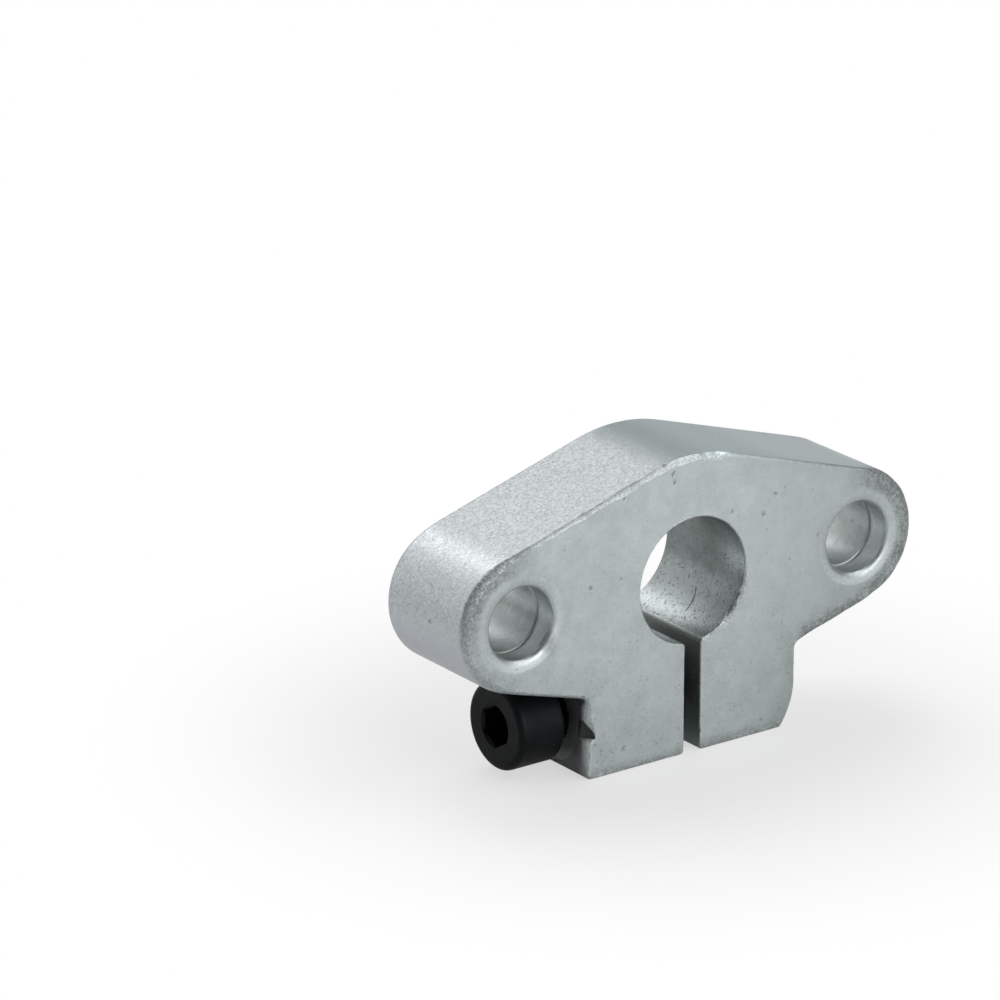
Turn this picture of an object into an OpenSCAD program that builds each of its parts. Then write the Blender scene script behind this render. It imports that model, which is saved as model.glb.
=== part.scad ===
// Split shaft support block for a round guide shaft.
// The shaft lies along Y. The flange spreads along X, the clamping foot points down, and
// the origin is the centre of the shaft bore, half way through the block.

/* [Block] */
// Width over the two rounded flange ends
block_w = 43; // [42:0.5:46]
// Thickness of the block along the shaft
block_t = 10; // [8:0.5:16]
// Height of the crown above the centre of the bore
crown_h = 10; // [9:0.25:11]
// Radius of the crown
crown_r = 13; // [12:0.25:14]
// Slope of the flange's underside
underside_slope = 15.8; // [14:0.2:18]

/* [Clamping foot] */
// Width of the foot
foot_w = 20; // [18:0.5:22]
// Depth of the foot's underside below the centre of the bore
foot_h = 14; // [13.6:0.1:15]
// Radius that draws in the lower end of the right jaw
jaw_sweep_r = 5.7; // [5.2:0.1:7]
// Radius of the left jaw's lower corner
corner_r = 0.5; // [0.3:0.1:1]
// Radius of the right jaw's lower corner, below the sweep
lip_r = 0.35; // [0.2:0.05:0.6]
// Radius between the foot and the flange's underside
junction_r = 0.5; // [0.3:0.1:1]
// Radius of the two corners at the slit's mouth
slit_mouth_r = 0.3; // [0.1:0.1:0.6]
// Width of the slit that lets the foot close on the shaft
slit_w = 1.5; // [1:0.1:2]

/* [Shaft bore] */
// Diameter of the shaft
bore_d = 10; // [8:0.5:11]
// Chamfer at both mouths of the bore
bore_chamfer = 0.3; // [0.1:0.1:0.5]

/* [Mounting holes] */
// Distance between the two mounting holes
hole_pitch = 32; // [31:0.5:34]
// Diameter of each mounting hole
hole_d = 5.5; // [4.5:0.1:5.7]
// Diameter of the wider mouth that the drill leaves at the front
mouth_d = 5.8; // [5.8:0.1:6.2]
// Depth of the wider mouth
mouth_depth = 2.1; // [1:0.1:3]
// Outer diameter of the shallow dish around each mouth
dish_d = 7.6; // [7:0.1:8.4]
// Depth of the dish
dish_depth = 0.4; // [0.2:0.1:0.8]
// Chamfer at the back of each mounting hole
hole_chamfer = 0.3; // [0.1:0.1:0.6]

/* [Clamp screw] */
// Distance of the screw's axis below the centre of the bore
screw_drop = 10; // [9.8:0.1:10.2]
// Diameter of the screw's shank over the thread
screw_d = 4; // [3:0.5:4]
// Length of the screw under its head
screw_len = 16; // [12:1:18]
// Diameter of the cylindrical head
head_d = 7; // [6:0.1:7]
// Height of the head
head_h = 4; // [3:0.1:4]
// Radius of the head's rim
head_rim_r = 0.5; // [0.2:0.1:0.8]
// Size of the hexagon key, across flats
key_af = 3; // [2.5:0.5:3]
// Depth of the hexagon socket
key_depth = 2; // [1.5:0.1:2.4]
// Gap left under the head by a screw that is not yet tightened
backed_off = 1.2; // [0:0.1:2]
// Diameter of the screw's clearance hole in the left jaw
clearance_d = 4.5; // [4.3:0.1:4.8]
// Diameter of the spot-faced seat that the head goes down to
seat_d = 7.6; // [7.2:0.1:8]
// Depth of the seat below the side of the foot
seat_depth = 0.2; // [0.1:0.05:0.5]

/* [Hidden] */
$fn = 96;

end_r = (block_w - hole_pitch) / 2;
end_x = hole_pitch / 2;
foot_x = foot_w / 2;
crown_z = crown_h - crown_r;

// Each straight edge runs this far inside the arcs that it meets, so that they cross
arc_lap = 0.005;

// The shoulders' slope comes from the distance between the crown's circle and an end circle,
// and from the difference of their radii.
shoulder_slope = asin((crown_r - end_r) / norm([end_x, crown_z])) - atan(-crown_z / end_x);
apex_z = crown_z + (crown_r - arc_lap) / cos(shoulder_slope);

// Height of the flange's underside at a distance x from the middle
function underside(x) =
    (x - end_x) * tan(underside_slope) - (end_r - arc_lap) / cos(underside_slope);

// Where the shoulder and the underside would meet, past the rounded end
tip_x = (apex_z - underside(0)) / (tan(shoulder_slope) + tan(underside_slope));
tip_z = underside(tip_x);
// The sweep's centre, and the centre of the corner that follows it
jaw_sweep_share = 0.65;
jaw_sweep_at = [foot_x - jaw_sweep_r + arc_lap, -foot_h + jaw_sweep_share * jaw_sweep_r];
lip_z = -foot_h + lip_r - arc_lap;
lip_x = jaw_sweep_at[0]
    + sqrt(pow(jaw_sweep_r - lip_r + arc_lap, 2) - pow(lip_z - jaw_sweep_at[1], 2));
lip_angle = atan2(lip_z - jaw_sweep_at[1], lip_x - jaw_sweep_at[0]);

// Centre of the fillet between the foot and the underside, and where the fillet meets them
junction_x = foot_x + junction_r - arc_lap;
junction_z = underside(junction_x) - (junction_r - arc_lap) / cos(underside_slope);
junction_end = [junction_x, junction_z] + junction_r * [-sin(underside_slope), cos(underside_slope)];

seat_x = -(foot_x - seat_depth);
head_base_x = seat_x - backed_off;
thread_clearance = 0.05;
tapped_d = screw_d + 2 * thread_clearance;
tap_chamfer = 0.4;
tap_past = 0.05;
thread_chamfer = 0.4;
socket_lead = 0.15;
drill_point = 0.7;
drill_margin = 0.1;
drill_r = key_af / 2 - drill_margin;
drill_overlap = 0.05;
nick_r = 0.85;
nick_offset = [0.2, 0.15];
past = 1;

// A hole along Y through the whole block
module hole_y(x, d) {
    translate([x, 0, 0]) rotate([90, 0, 0]) cylinder(d = d, h = block_t + 2 * past, center = true);
}

// A conical mouth on the front (side = -1) or back (side = 1) face, narrowing inwards
module mouth_cone(x, outer_d, inner_d, depth, side) {
    slope = (outer_d - inner_d) / 2 / depth;
    translate([x, side * (block_t / 2 - depth), 0]) rotate([-90 * side, 0, 0])
        cylinder(h = depth + past, r1 = inner_d / 2, r2 = outer_d / 2 + past * slope);
}

// A round bar along X, from x0 to x1, on the clamp screw's axis
module bar_x(x0, x1, d) {
    translate([x0, 0, -screw_drop]) rotate([0, 90, 0]) cylinder(d = d, h = x1 - x0);
}

// Cutter that rounds a corner: what lies outside a circle, between two directions from its
// centre and up to a distance from it
module round_off(centre, r, from_angle, to_angle, reach) {
    function far(angle) = reach * [cos(angle), sin(angle)];
    translate(centre) difference() {
        polygon([[0, 0], far(from_angle), far((from_angle + to_angle) / 2), far(to_angle)]);
        circle(r = r);
    }
}

// Outline seen along the shaft: straight edges first, then the arcs cut from them
module block_outline() {
    difference() {
        polygon([
            [0, apex_z], [tip_x, tip_z],
            junction_end, [foot_x, junction_z], [foot_x, -foot_h],
            [-foot_x, -foot_h], [-foot_x, junction_z], [-junction_end[0], junction_end[1]],
            [-tip_x, tip_z]
        ]);
        round_off([0, crown_z], crown_r, 90 - shoulder_slope, 90 + shoulder_slope, block_w);
        round_off([end_x, 0], end_r, underside_slope - 90, 90 - shoulder_slope, block_w);
        round_off([-end_x, 0], end_r, 90 + shoulder_slope, 270 - underside_slope, block_w);
        for (side = [-1, 1]) translate([side * junction_x, junction_z]) circle(r = junction_r);
        round_off((corner_r - arc_lap) * [1, 1] - [foot_x, foot_h], corner_r, 180, 270, foot_w);
        round_off(jaw_sweep_at, jaw_sweep_r, -90, 0, foot_w);
        round_off([lip_x, lip_z], lip_r, -90, lip_angle, 2 * lip_r);
        slit_mouth();
    }
}

// The slit as far as the bore, with its mouth's two corners rounded
module slit_mouth() {
    corner = slit_mouth_r - arc_lap;
    translate([-slit_w / 2, -foot_h - past]) square([slit_w, foot_h + past]);
    round_off([-slit_w / 2, -foot_h] + corner * [-1, 1], slit_mouth_r, 270, 360, 2 * slit_mouth_r);
    round_off([slit_w / 2, -foot_h] + corner * [1, 1], slit_mouth_r, 180, 270, 2 * slit_mouth_r);
}

// One-piece block, open along the slit from the bore to the underside of the foot
module support_block() {
    color("silver") difference() {
        rotate([90, 0, 0]) linear_extrude(height = block_t, center = true) block_outline();
        hole_y(0, bore_d);
        for (side = [-1, 1]) mouth_cone(0, bore_d + 2 * bore_chamfer, bore_d, bore_chamfer, side);
        for (x = [-end_x, end_x]) {
            hole_y(x, hole_d);
            translate([x, -block_t / 2 - past, 0]) rotate([-90, 0, 0])
                cylinder(d = mouth_d, h = mouth_depth + past);
            mouth_cone(x, dish_d, mouth_d, dish_depth, -1);
            mouth_cone(x, hole_d + 2 * hole_chamfer, hole_d, hole_chamfer, 1);
        }
        bar_x(-block_w, seat_x, seat_d);
        bar_x(seat_x - past, 0, clearance_d);
        bar_x(0, foot_x + past, tapped_d);
        translate([foot_x - tap_chamfer, 0, -screw_drop]) rotate([0, 90, 0])
            cylinder(h = tap_chamfer + tap_past, r1 = tapped_d / 2, r2 = tapped_d / 2 + tap_chamfer + tap_past);
        translate([-foot_x - nick_offset[0], -block_t / 2 - nick_offset[1], -screw_drop])
            sphere(r = nick_r);
    }
}

// Half section of the screw, from the face of the head (0) to the tip of the shank
module screw_section() {
    head_r = head_d / 2;
    shank_r = screw_d / 2;
    square([head_r - head_rim_r, head_h]);
    translate([0, head_rim_r]) square([head_r, head_h - head_rim_r]);
    translate([head_r - head_rim_r, head_rim_r]) circle(r = head_rim_r);
    polygon([
        [0, head_h - past], [shank_r, head_h - past],
        [shank_r, head_h + screw_len - thread_chamfer],
        [shank_r - thread_chamfer, head_h + screw_len], [0, head_h + screw_len]
    ]);
}

// Socket-head cap screw, as it sits in the foot: head on the left, key socket facing out
module clamp_screw() {
    key_d = key_af / cos(30);
    color("dimgray") translate([head_base_x - head_h, 0, -screw_drop]) rotate([0, 90, 0])
        difference() {
            rotate_extrude() screw_section();
            translate([0, 0, -past]) cylinder(d = key_d, h = key_depth + past, $fn = 6);
            translate([0, 0, key_depth - drill_overlap])
                cylinder(h = drill_overlap + drill_point, r1 = drill_r, r2 = 0);
            translate([0, 0, -past])
                cylinder(h = past + socket_lead, r1 = key_d / 2 + past, r2 = key_d / 2 - socket_lead);
        }
}

support_block();
clamp_screw();
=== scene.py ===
"""Split shaft support block: its finished pieces, their materials, and a plain stage with light and camera.

Lengths in this file are in millimetres, and turn into metres where a mesh or a light is placed.
X runs along the flange, Y along the shaft and Z up; the origin is the centre of the bore.
"""

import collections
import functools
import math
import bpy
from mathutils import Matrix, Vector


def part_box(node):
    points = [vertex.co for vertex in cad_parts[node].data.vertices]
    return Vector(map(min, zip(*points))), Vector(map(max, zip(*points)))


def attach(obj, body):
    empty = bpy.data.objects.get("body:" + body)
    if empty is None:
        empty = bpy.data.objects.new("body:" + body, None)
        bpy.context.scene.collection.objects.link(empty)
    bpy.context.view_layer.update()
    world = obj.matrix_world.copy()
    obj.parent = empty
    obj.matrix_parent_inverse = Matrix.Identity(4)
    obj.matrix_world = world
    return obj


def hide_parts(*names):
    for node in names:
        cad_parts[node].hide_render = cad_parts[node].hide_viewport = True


bl_info = {
    "name": "Shaft support block",
    "version": (1, 0, 0),
    "blender": (4, 5, 0),
    "location": "View3D > Sidebar > Shaft support",
    "description": "Makes a tumbled aluminium shaft support block with its cap screw, and a studio for it",
    "category": "Add Mesh",
}

import bmesh
import bpy
from mathutils import Matrix, Vector, noise
from mathutils.geometry import delaunay_2d_cdt

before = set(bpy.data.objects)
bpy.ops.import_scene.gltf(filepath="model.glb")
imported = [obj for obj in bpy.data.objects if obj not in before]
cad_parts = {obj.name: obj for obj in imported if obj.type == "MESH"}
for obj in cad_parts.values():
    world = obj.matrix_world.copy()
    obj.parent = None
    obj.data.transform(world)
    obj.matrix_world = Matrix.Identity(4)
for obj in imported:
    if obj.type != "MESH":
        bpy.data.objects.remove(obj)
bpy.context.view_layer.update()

MM = 0.001
BLOCK_NODE, SCREW_NODE = "support_block", "clamp_screw"
BLOCK_LOW, BLOCK_HIGH = (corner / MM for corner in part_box(BLOCK_NODE))
SCREW_LOW, SCREW_HIGH = (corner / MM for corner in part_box(SCREW_NODE))
SCREW_AXIS = (SCREW_LOW.z + SCREW_HIGH.z) / 2

# where the finishes and the sizes below meet: distances in mm from the centre of the bore, and one slope
HALF_PITCH, END_RADIUS, HALF_FOOT, SCREW_DROP = 16, 5.5, 10, 10
UNDERSIDE = math.radians(15.8)


# ---------------------------------------------------------------- sizes and colours


class BlockSizes(bpy.types.PropertyGroup):
    crown_radius: bpy.props.FloatProperty(
        name="Crown radius", description="Radius of the crown, in mm", default=13.0)
    underside_slope: bpy.props.FloatProperty(
        name="Underside slope", description="Slope of the flange's underside",
        default=UNDERSIDE, subtype="ANGLE")
    foot_width: bpy.props.FloatProperty(
        name="Foot width", description="Width of the clamping foot, in mm", default=2.0 * HALF_FOOT)
    sweep_radius: bpy.props.FloatProperty(
        name="Jaw sweep", description="Radius that draws in the right jaw's lower end, in mm", default=5.7)
    slit_width: bpy.props.FloatProperty(
        name="Slit width", description="Width of the sawn slit, in mm", default=1.5)
    bore_radius: bpy.props.FloatProperty(
        name="Bore radius", description="Radius of the shaft bore, in mm", default=5.0)
    hole_pitch: bpy.props.FloatProperty(
        name="Hole pitch", description="Distance between the mounting holes, in mm", default=2.0 * HALF_PITCH)
    hole_radius: bpy.props.FloatProperty(
        name="Hole radius", description="Radius of a mounting hole, in mm", default=2.75)
    mouth_radius: bpy.props.FloatProperty(
        name="Mouth radius", description="Radius of a mounting hole's wider mouth, in mm", default=2.9)
    dish_radius: bpy.props.FloatProperty(
        name="Dish radius", description="Outer radius of the worn dish round each hole, in mm", default=3.8)
    step: bpy.props.FloatProperty(
        name="Outline step", description="Distance between points of the outline, in mm", default=0.22)


class ScrewSizes(bpy.types.PropertyGroup):
    pitch: bpy.props.FloatProperty(
        name="Pitch", description="Pitch of the screw's thread, in mm", default=0.7)
    root_radius: bpy.props.FloatProperty(
        name="Root radius", description="Radius at the bottom of the thread, in mm", default=1.56)
    crest_radius: bpy.props.FloatProperty(
        name="Crest radius", description="Radius at the top of the thread, in mm", default=1.98)
    key_width: bpy.props.FloatProperty(
        name="Key width", description="Hexagon socket across its flats, in mm", default=3.0)
    key_depth: bpy.props.FloatProperty(
        name="Key depth", description="Depth of the hexagon socket, in mm", default=2.0)
    rim_radius: bpy.props.FloatProperty(
        name="Rim radius", description="Radius of the head's rim, in mm", default=0.5)
    head_height: bpy.props.FloatProperty(
        name="Head height", description="Height of the screw's head, in mm", default=4.0)
    segments: bpy.props.IntProperty(
        name="Segments", description="Points round the screw, a multiple of 12", default=72)


class Finish(bpy.types.PropertyGroup):
    face: bpy.props.FloatVectorProperty(
        name="Sawn face", description="Colour of the sawn and tumbled faces",
        subtype="COLOR", default=(0.53, 0.588, 0.583))
    skin: bpy.props.FloatVectorProperty(
        name="Blasted skin", description="Colour of the extruded and blasted skin",
        subtype="COLOR", default=(0.4, 0.426, 0.436))
    # this colour also lays on painted shade: on the foot's side, inside its nick, at the drill's step and at
    # the bore's throat
    dirt: bpy.props.FloatVectorProperty(
        name="Dirt", description="Colour of pits and worn specks",
        subtype="COLOR", default=(0.13, 0.14, 0.135))
    oxide: bpy.props.FloatVectorProperty(
        name="Black oxide", description="Colour of the screw",
        subtype="COLOR", default=(0.0078, 0.009, 0.0102))


class StageSettings(bpy.types.PropertyGroup):
    azimuth: bpy.props.FloatProperty(
        name="Azimuth", description="Camera's direction round the block",
        default=math.radians(-35.91), subtype="ANGLE")
    elevation: bpy.props.FloatProperty(
        name="Elevation", description="Camera's height above the horizon",
        default=math.radians(19.68), subtype="ANGLE")
    roll: bpy.props.FloatProperty(
        name="Roll", description="Camera's roll", default=math.radians(-0.03), subtype="ANGLE")
    distance: bpy.props.FloatProperty(
        name="Distance", description="Distance from the camera to the bore, in mm", default=457.9)
    shift_right: bpy.props.FloatProperty(
        name="Shift right", description="How far right of the frame's centre the bore lies, in mm",
        default=11.73)
    shift_down: bpy.props.FloatProperty(
        name="Shift down", description="How far below the frame's centre the bore lies, in mm", default=4.73)
    lens: bpy.props.FloatProperty(
        name="Lens", description="Focal length on a 36 mm sensor, in mm", default=216.0)
    floor: bpy.props.FloatVectorProperty(
        name="Floor", description="Colour of the floor", subtype="COLOR", default=(0.85, 0.85, 0.85))


# ---------------------------------------------------------------- node trees as expressions


class Wire:
    """An output socket that takes part in Python expressions, which add the Math nodes they need."""

    def __init__(self, tree, socket):
        self.tree, self.socket = tree, socket

    def maths(self, operation, *others):
        return self.tree.add("ShaderNodeMath", {"operation": operation}, [self, *others])

    def after(self, operation, other):
        return self.tree.add("ShaderNodeMath", {"operation": operation}, [other, self])

    def __add__(self, other):
        return self.maths("ADD", other)

    __radd__ = __add__

    def __sub__(self, other):
        return self.maths("SUBTRACT", other)

    def __rsub__(self, other):
        return self.after("SUBTRACT", other)

    def __mul__(self, other):
        return self.maths("MULTIPLY", other)

    __rmul__ = __mul__

    def __truediv__(self, other):
        return self.maths("DIVIDE", other)

    def __rtruediv__(self, other):
        return self.after("DIVIDE", other)

    def __pow__(self, other):
        return self.maths("POWER", other)

    def __abs__(self):
        return self.maths("ABSOLUTE")

    def low(self, other):
        """The lower of the two"""
        return self.maths("MINIMUM", other)

    def high(self, other):
        """The higher of the two"""
        return self.maths("MAXIMUM", other)

    def rise(self, start, end):
        """0 up to start, then smoothly to 1 at end"""
        return self.tree.add(
            "ShaderNodeMapRange", {"interpolation_type": "SMOOTHSTEP"}, [self, start, end, 0, 1])

    def fall(self, start, end):
        """1 up to start, then smoothly to 0 at end"""
        return 1 - self.rise(start, end)

    def parts(self):
        """The three numbers of a vector"""
        split = self.tree.add("ShaderNodeSeparateXYZ", None, [self])
        return [Wire(self.tree, out) for out in split.socket.node.outputs]


class Tree:
    """A node tree written from Python."""

    def __init__(self, tree):
        self.nodes, self.links = tree.nodes, tree.links

    def add(self, kind, settings=None, inputs=None, output=0):
        """One node: its settings first, then the values or links of its sockets"""
        node = self.nodes.new(kind)
        for name, value in (settings or {}).items():
            setattr(node, name, value)
        pairs = inputs.items() if isinstance(inputs, dict) else enumerate(inputs or [])
        for key, value in pairs:
            if isinstance(value, Wire):
                self.links.new(value.socket, node.inputs[key])
            else:
                node.inputs[key].default_value = value
        return Wire(self, node.outputs[output]) if len(node.outputs) else node

    def blend(self, one, other, share):
        """A colour between two, from one at 0 to the other at 1"""
        return self.add(
            "ShaderNodeMix", {"data_type": "RGBA", "clamp_factor": True}, {0: share, 6: one, 7: other}, 2)

    def layers(self, colour, *layers):
        """A colour with others laid over it in turn, each by its own share"""
        for other, share in layers:
            colour = self.blend(colour, other, share)
        return colour

    def noise(self, place, scale, detail=2, roughness=0.5):
        return self.add("ShaderNodeTexNoise", None, {
            "Vector": place, "Scale": scale, "Detail": detail, "Roughness": roughness})

    def cells(self, place, scale, output="Distance", **settings):
        return self.add("ShaderNodeTexVoronoi", settings, {"Vector": place, "Scale": scale}, output)

    def stretched(self, place, scale):
        """A place pulled out or pushed together along each axis"""
        return self.add("ShaderNodeMapping", None, {"Vector": place, "Scale": scale})

    def attribute(self, name):
        return self.add("ShaderNodeAttribute", {"attribute_name": name}, None, "Fac")


def rays(tree):
    """Two switches: 1 for what the camera sees, and 1 for what metal or glass shows"""
    node = tree.add("ShaderNodeLightPath").socket.node
    camera, glossy, through = (
        Wire(tree, node.outputs[name]) for name in ("Is Camera Ray", "Is Glossy Ray", "Is Transmission Ray"))
    return camera, glossy.high(through)


def rgba(colour, level=1):
    return (*(part * level for part in colour), 1)


def new_material(name):
    """A material with an empty tree, the tree, and the place in millimetres"""
    material = bpy.data.materials.new(name)
    material.use_nodes = True
    material.node_tree.nodes.clear()
    tree = Tree(material.node_tree)
    where = tree.add("ShaderNodeTexCoord", None, None, "Object")
    place = tree.add("ShaderNodeVectorMath", {"operation": "SCALE"}, {"Vector": where, "Scale": 1 / MM})
    return material, tree, place


def finish_material(tree, inputs, height):
    """The surface: height is in millimetres and turns into a normal"""
    bump = tree.add("ShaderNodeBump", None, {"Strength": 1, "Distance": MM, "Height": height}, "Normal")
    surface = tree.add("ShaderNodeBsdfPrincipled", None, {**inputs, "Normal": bump})
    tree.add("ShaderNodeOutputMaterial", None, {"Surface": surface})


# ---------------------------------------------------------------- materials


# casts of the same metals beside the colours that a user sets, and lit and shaded copies of them that paint
# light and shade on the crown, the round ends, the holes and the slit
BLUISH_FACE = (0.55, 0.575, 0.62)
CROWN_LEFT, CROWN_MIDDLE, CROWN_RIGHT = (0.43, 0.51, 0.51), (0.345, 0.435, 0.445), (0.415, 0.49, 0.505)
END_UNDERSIDE = (0.54, 0.57, 0.63)
HOLE_PAINTED_SHADE, HOLE_PAINTED_LIGHT = (0.4, 0.432, 0.427), (0.87, 0.915, 0.91)
SLIT_TOP = (0.43, 0.45, 0.445)
OXIDE_FLECK = (0.12, 0.12, 0.12)


class BlockPlace:
    """Where a point of the block lies: distances in mm, masks from 0 to 1, and grains that finishes share"""

    def __init__(self, tree, place):
        self.place = place
        x, y, z = self.x, self.y, self.z = place.parts()
        from_middle = abs(y)
        self.from_bore = (x * x + z * z) ** 0.5
        self.beside = abs(x) - HALF_PITCH
        self.from_hole = (self.beside * self.beside + z * z) ** 0.5
        self.left, self.front, self.under = x.fall(-1, 0), y.fall(-4.85, -4.45), z.fall(-2.5, 1.5)
        self.skin, self.edge, self.worn, self.burr = (tree.attribute(name) for name in Shell.NUMBERS)

        # what each way of cutting made
        self.face = from_middle.rise(4.9, 4.99)
        self.bored = self.from_bore.fall(5.03, 5.12) * from_middle.fall(4.85, 4.97)
        self.drilled = self.from_hole.fall(2.95, 3) * from_middle.fall(4.6, 4.9)
        self.dished = self.from_hole.fall(3.7, 3.9) * (1 - self.drilled) * y.fall(-4.7, -4.4)
        self.slit = abs(x).fall(0.78, 0.82) * z.fall(-4.9, -4.8)

        self.haze = tree.noise(place, 1.3, 4, 0.6)
        self.fine = tree.noise(place, 6, 3, 0.65)
        self.grain = tree.noise(place, 5, 3, 0.7)
        self.coarse = tree.noise(place, 1.8, 2, 0.5)
        self.glint = tree.cells(place, 6.5, "Color").parts()[0]
        self.speck = tree.noise(place, 3.6, 3, 0.7)
        self.sparkle = tree.noise(place, 5.5, 2, 0.7).rise(0.5, 0.62)
        self.rings = tree.noise(tree.stretched(place, (0.35, 7, 0.35)), 1, 3, 0.6)
        self.wall = (self.rings * 0.2 + self.fine * 0.4 + self.haze * 0.4).rise(0.3, 0.7)
        # how coarse the skin is: less under the round ends and to the right
        self.coarseness = (1 - self.under * 0.6) * (1 - x.rise(-5, 1) * 0.6)


def sawn_face(tree, finish, at):
    """Soft clouds and fine marks, bluish in places and darker to the right"""
    clouds = tree.noise(at.place, 0.35, 3)
    level = (clouds * 0.3 + at.haze * 0.35 + at.fine * 0.35).rise(0.3, 0.7)
    bluish = tree.noise(at.place, 0.22, 1).rise(0.52, 0.66) * 0.25
    darker_to_right = at.x.rise(1, 14) * 0.35 + at.x.rise(4, 14) * at.z.fall(-5, 0) * 0.25
    return tree.layers(
        rgba(finish.face, 0.87), (rgba(finish.face, 1.1), level), (rgba(BLUISH_FACE), bluish),
        (rgba(finish.face, 0.7), darker_to_right))


def blasted_skin(tree, finish, at):
    """Bright grain on the shoulders, greener on the crown with painted shade in its middle, and on the round
    ends a painted highlight, smoother and bluer underneath
    """
    level = (at.grain * 0.6 + at.glint * 0.2 + at.coarse * 0.2 - 0.5) * at.coarseness + 0.5
    level = level.rise(0.3, 0.66)
    # the crown's top: greener, with painted shade in the middle and painted light to each side, as its
    # reflections fall
    crown = tree.layers(
        rgba(CROWN_LEFT), (rgba(CROWN_MIDDLE), at.x.rise(0, 5)), (rgba(CROWN_RIGHT), at.x.rise(6, 11)))
    # the round ends are painted lighter, a highlight where they curve towards the light, and bluer underneath
    end = tree.layers(
        rgba(finish.skin, 1.15), (rgba(finish.skin, 1.65), level), (rgba(END_UNDERSIDE), at.under * 0.5))
    return tree.layers(
        rgba(finish.skin, 0.72), (rgba(finish.skin, 1.13), level),
        (crown, at.x.rise(-4, 1) * at.z.rise(0, 3) * 0.85), (end, at.beside.rise(0.5, 4)))


def bore_wall(tree, finish, at):
    """Satin marks with a painted sheen: lighter towards the back, at the front of the right side and beside
    the slit, and darker over its upper part towards the back
    """
    x, y, z = at.x, at.y, at.z
    marks_and_painted_sheen = (
        at.wall * 0.2 + 0.03 + y.rise(-5, 4) * 0.28 - z.rise(-4, -0.5) * y.rise(-3.5, -0.5) * 0.2
        + x.rise(1, 4) * z.rise(-1.5, 0.5) * y.fall(-4.5, -1) * 0.36
        + x.fall(-0.9, -0.7) * z.fall(-3.6, -3) * 0.65)
    return tree.blend(rgba(finish.face, 0.3), rgba(finish.face, 1.2), marks_and_painted_sheen)


def drilled_wall(tree, at):
    """Painted light and shade: darker behind the drill's step, the right hole lighter, and the left hole
    lighter at the top, with a painted glint on its drill marks low down
    """
    y, z, left = at.y, at.z, at.left
    # a painted glint on the drill marks deep and low in the left hole
    drill_marks_painted_glint = y.rise(-0.6, 0.4) * z.fall(-1, -0.2) * (at.rings.rise(0.42, 0.58) - 0.35)
    marks_and_painted_light = (
        at.wall * 0.2 + at.x.rise(0, 1) * 0.58 + left * z.rise(-1.5, 0.8) * 0.8
        - y.rise(-2.95, -2.85) * (0.4 + left * z.fall(-1, 1.5) * 0.3) + 0.1
        + left * z.rise(-1.8, 1) * 0.4 + left * drill_marks_painted_glint * 0.8)
    return tree.blend(rgba(HOLE_PAINTED_SHADE), rgba(HOLE_PAINTED_LIGHT), marks_and_painted_light)


def worn_rims(at):
    """Where handling wore the front: round the ends, along the right underside and the base"""
    x, z, beside = at.x, at.z, at.beside
    wander = (at.haze - 0.5) * 0.9
    from_end = END_RADIUS - at.from_hole + wander
    ends = beside.rise(-2, 2).high(z.fall(-1, 1) * 0.35) * beside.rise(-3.5, -1.5)
    ends = ends * from_end.fall(1.1, 1.7) * (1 - at.left * (0.55 - z.rise(-2.5, 2) * 0.35))
    from_under = (z - beside * math.tan(UNDERSIDE)) * math.cos(UNDERSIDE) + END_RADIUS + wander
    underside = beside.fall(0, 2) * beside.rise(-6.5, -5) * from_under.fall(0.7, 1.5)
    underside = underside * x.rise(-2, 2)
    right_rim = x.rise(0, 2) * beside.rise(0, 2) * from_end.fall(1.2, 2)
    base = z.fall(-13.9, -12.7) * 0.75
    return at.worn.high(at.front * ends.high(underside).high(right_rim).high(base))


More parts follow.
